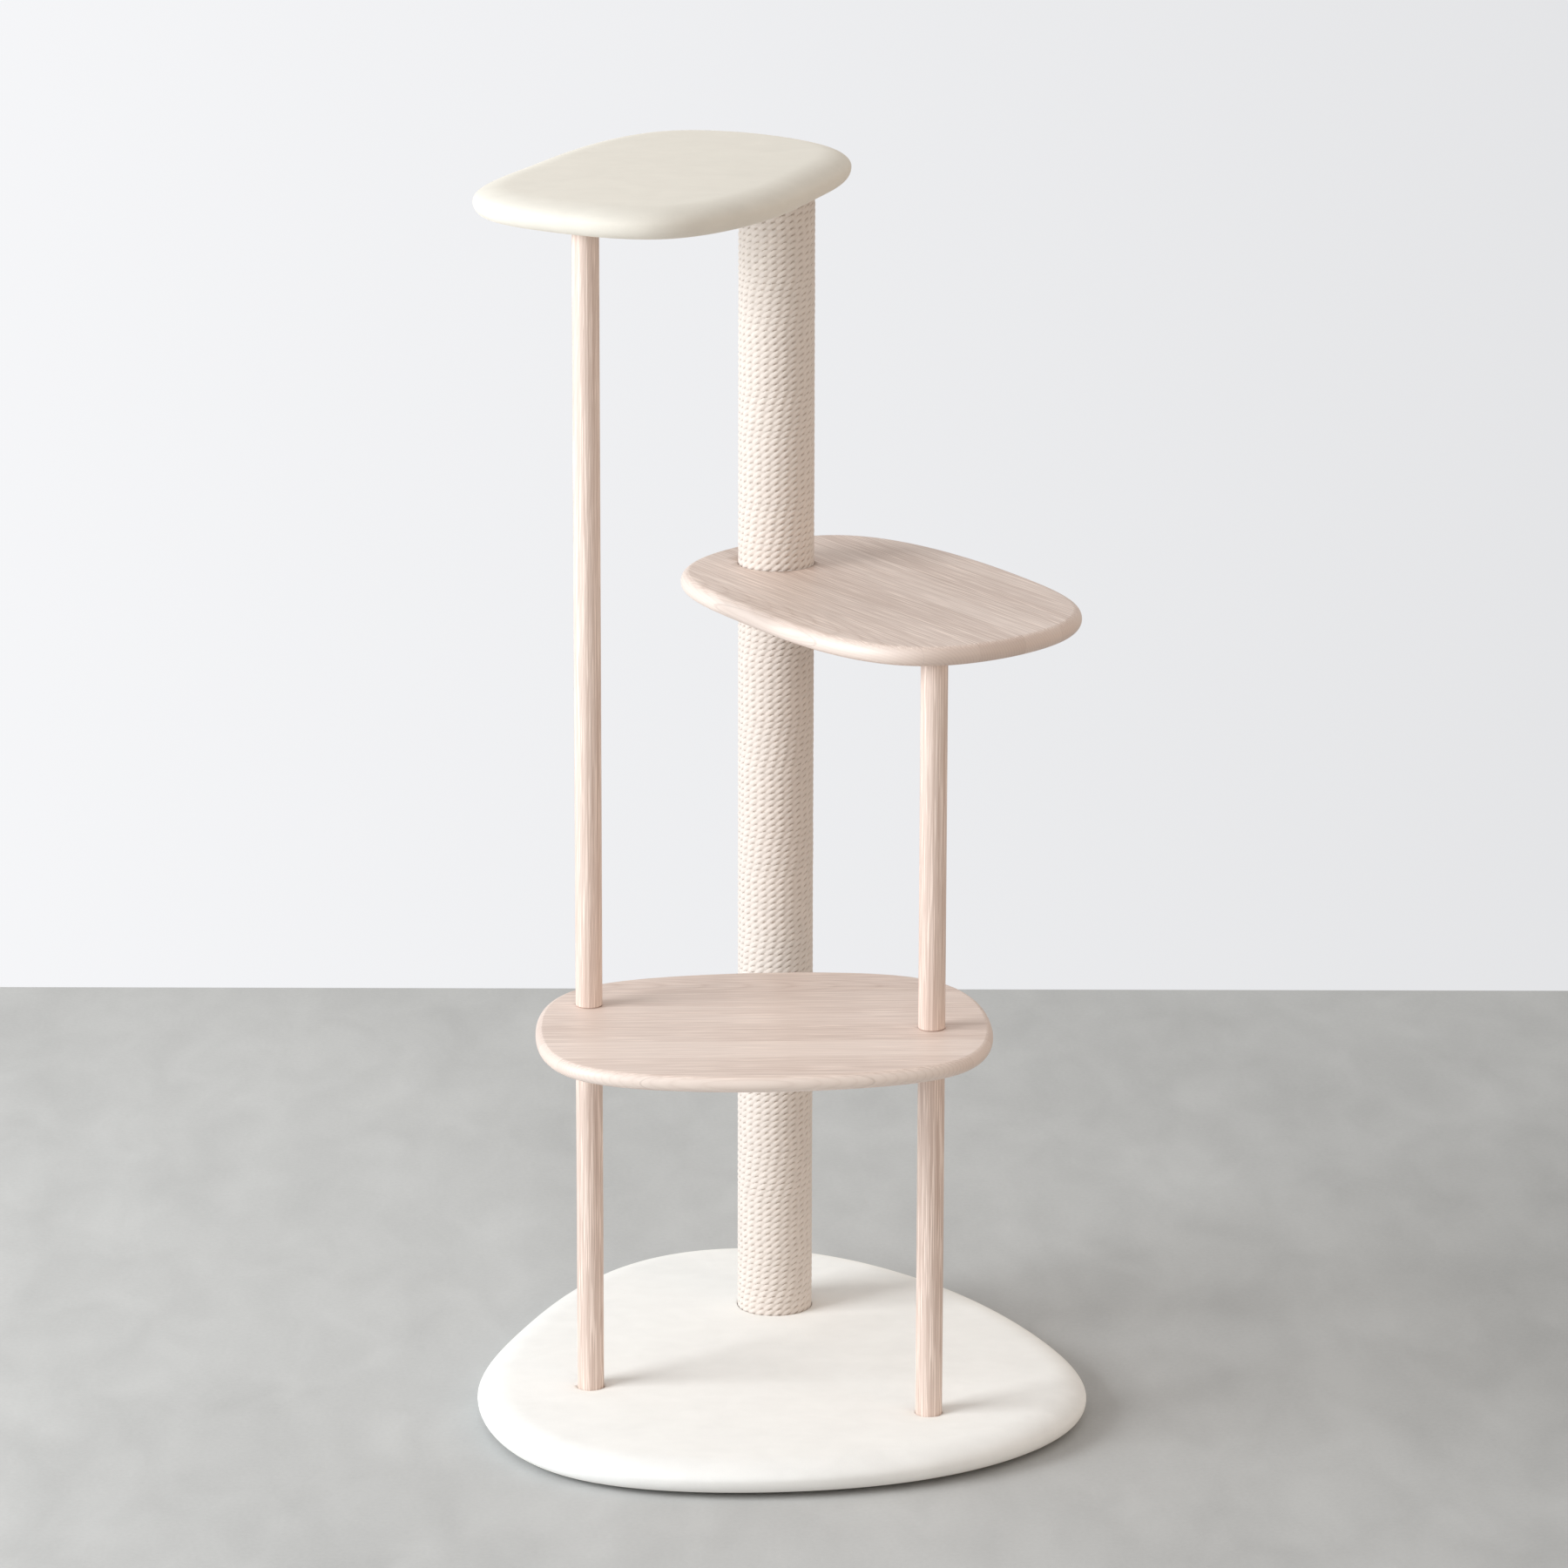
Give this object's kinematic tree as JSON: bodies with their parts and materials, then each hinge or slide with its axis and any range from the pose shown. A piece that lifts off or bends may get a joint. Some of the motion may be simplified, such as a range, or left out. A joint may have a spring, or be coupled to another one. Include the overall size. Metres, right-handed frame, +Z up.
{
  "type": "cat tree",
  "caption": "Free-standing cat tree: upholstered pebble-shaped base, slim wooden dowel posts, a rope-wound scratching post, rounded wooden shelves and an upholstered perch.",
  "frame": {"origin": "on the floor, under the middle of the base's outline", "axes": "+Z up, -Y towards the front, +X to the right of someone facing the front"},
  "size_m": [0.6912, 0.779, 1.4],
  "materials": {
    "shelf_wood": "pale whitewashed ash, fine straight grain, satin oil",
    "post_wood": "pale whitewashed ash dowel, grain along its length",
    "board_wood": "raw birch plywood, hidden",
    "base_velour": "cream short-pile velour",
    "perch_velour": "cream short-pile velour",
    "foam": "soft polyurethane foam, hidden",
    "dark_liner": "black non-woven dust cover",
    "foot_felt": "dark non-slip pad",
    "cotton_rope": "twisted undyed cotton rope, close wound",
    "core_tube": "pressed paper tube, hidden",
    "brass_insert": "plain",
    "zinc_fastener": "zinc plated"
  },
  "bodies": {
    "root": {"base_board": "board_wood", "base_bolt_left": "zinc_fastener", "base_bolt_right": "zinc_fastener", "base_bolt_rope": "zinc_fastener", "base_cover": "base_velour", "base_foam": "foam", "base_foot_1": "foot_felt", "base_foot_2": "foot_felt", "base_foot_3": "foot_felt", "base_foot_4": "foot_felt", "base_foot_5": "foot_felt", "base_liner": "dark_liner", "base_washer_left": "zinc_fastener", "base_washer_right": "zinc_fastener", "base_washer_rope": "zinc_fastener", "left_post_lower": "post_wood", "left_post_lower_insert_bottom": "brass_insert", "left_post_lower_insert_top": "brass_insert", "left_post_upper": "post_wood", "left_post_upper_insert_bottom": "brass_insert", "left_post_upper_insert_top": "brass_insert", "lower_shelf": "shelf_wood", "lower_shelf_stud_left": "zinc_fastener", "lower_shelf_stud_right": "zinc_fastener", "mid_shelf": "shelf_wood", "mid_shelf_insert": "brass_insert", "mid_shelf_stud_right": "zinc_fastener", "mid_shelf_stud_rope": "zinc_fastener", "perch_board": "board_wood", "perch_cover": "perch_velour", "perch_foam": "foam", "perch_liner": "perch_velour", "perch_stud_left": "zinc_fastener", "perch_stud_rope": "zinc_fastener", "perch_tee_nut_left": "zinc_fastener", "perch_tee_nut_rope": "zinc_fastener", "right_post_lower": "post_wood", "right_post_lower_insert_bottom": "brass_insert", "right_post_lower_insert_top": "brass_insert", "right_post_upper": "post_wood", "right_post_upper_insert_bottom": "brass_insert", "right_post_upper_insert_top": "brass_insert", "rope_post_lower_core": "core_tube", "rope_post_lower_insert_bottom": "brass_insert", "rope_post_lower_insert_top": "brass_insert", "rope_post_lower_plug_bottom": "board_wood", "rope_post_lower_plug_top": "board_wood", "rope_post_lower_winding": "cotton_rope", "rope_post_upper_core": "core_tube", "rope_post_upper_insert_bottom": "brass_insert", "rope_post_upper_insert_top": "brass_insert", "rope_post_upper_plug_bottom": "board_wood", "rope_post_upper_plug_top": "board_wood", "rope_post_upper_winding": "cotton_rope"}
  },
  "joints": []
}
